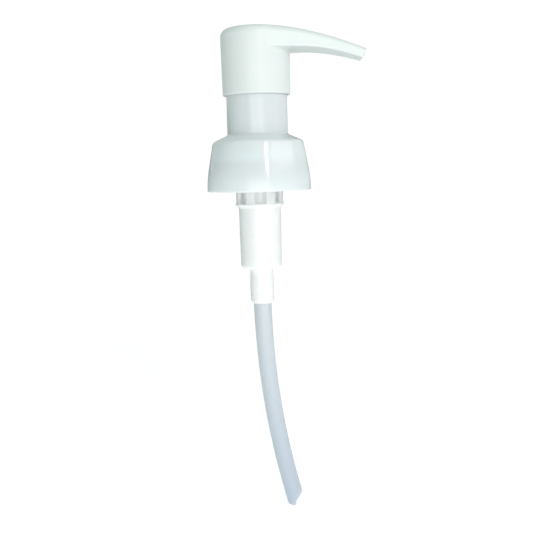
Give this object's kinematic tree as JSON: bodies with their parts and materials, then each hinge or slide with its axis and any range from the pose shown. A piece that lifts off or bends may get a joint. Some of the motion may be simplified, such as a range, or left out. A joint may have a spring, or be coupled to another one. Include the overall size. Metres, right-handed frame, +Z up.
{
  "type": "condiment pump dispenser",
  "caption": "Screw-on jug pump for condiments: push-down head with a long curved spout, translucent turret and bell closure, windowed housing with check balls, and a curved dip tube.",
  "frame": {"origin": "centre of the gasket's underside, where the pump sits on the jug's neck", "axes": "+Z up the pump's axis, +X along the spout"},
  "size_m": [0.0715, 0.0462, 0.218],
  "materials": {
    "white_plastic": "satin white polypropylene",
    "natural_plastic": "glossy natural polypropylene, milky and see-through in thin walls",
    "tube_plastic": "satin natural polyethylene, milky",
    "piston_plastic": "waxy natural polyethylene",
    "seal_rubber": "matte food-grade silicone",
    "gasket_foam": "matte polyethylene foam",
    "spring_steel": "drawn stainless wire",
    "ball_steel": "ground and polished stainless"
  },
  "bodies": {
    "housing": {"housing": "white_plastic", "chaplet": "white_plastic", "stem_seal": "seal_rubber", "gasket": "gasket_foam", "ball_cage": "piston_plastic", "dip_tube": "tube_plastic"},
    "closure": {"closure": "natural_plastic"},
    "spring_carrier": {"spring_seat": "piston_plastic", "spring": "spring_steel"},
    "plunger": {"head": "white_plastic", "stem": "white_plastic", "piston": "piston_plastic", "piston_retainer": "white_plastic"},
    "discharge_valve": {"discharge_ball": "ball_steel"},
    "inlet_valve": {"inlet_ball": "ball_steel"}
  },
  "joints": [
    {"name": "closure_spin", "type": "hinge", "parent": "housing", "child": "closure", "pos_m": [0, 0, 0], "axis": [0, 0, 1], "continuous": true},
    {"name": "head_swivel", "type": "hinge", "parent": "housing", "child": "spring_carrier", "pos_m": [0, 0, 0.0047], "axis": [0, 0, 1], "continuous": true},
    {"name": "pump_stroke", "type": "slide", "parent": "spring_carrier", "child": "plunger", "axis": [0, 0, -1], "range_m": [0, 0.016], "stiffness_N_per_m": 680, "springref_m": -0.012, "deforming": ["spring"]},
    {"name": "discharge_ball_lift", "type": "slide", "parent": "plunger", "child": "discharge_valve", "axis": [0, 0, 1], "range_m": [0, 0.002]},
    {"name": "inlet_ball_lift", "type": "slide", "parent": "housing", "child": "inlet_valve", "axis": [0, 0, 1], "range_m": [0, 0.002]}
  ]
}
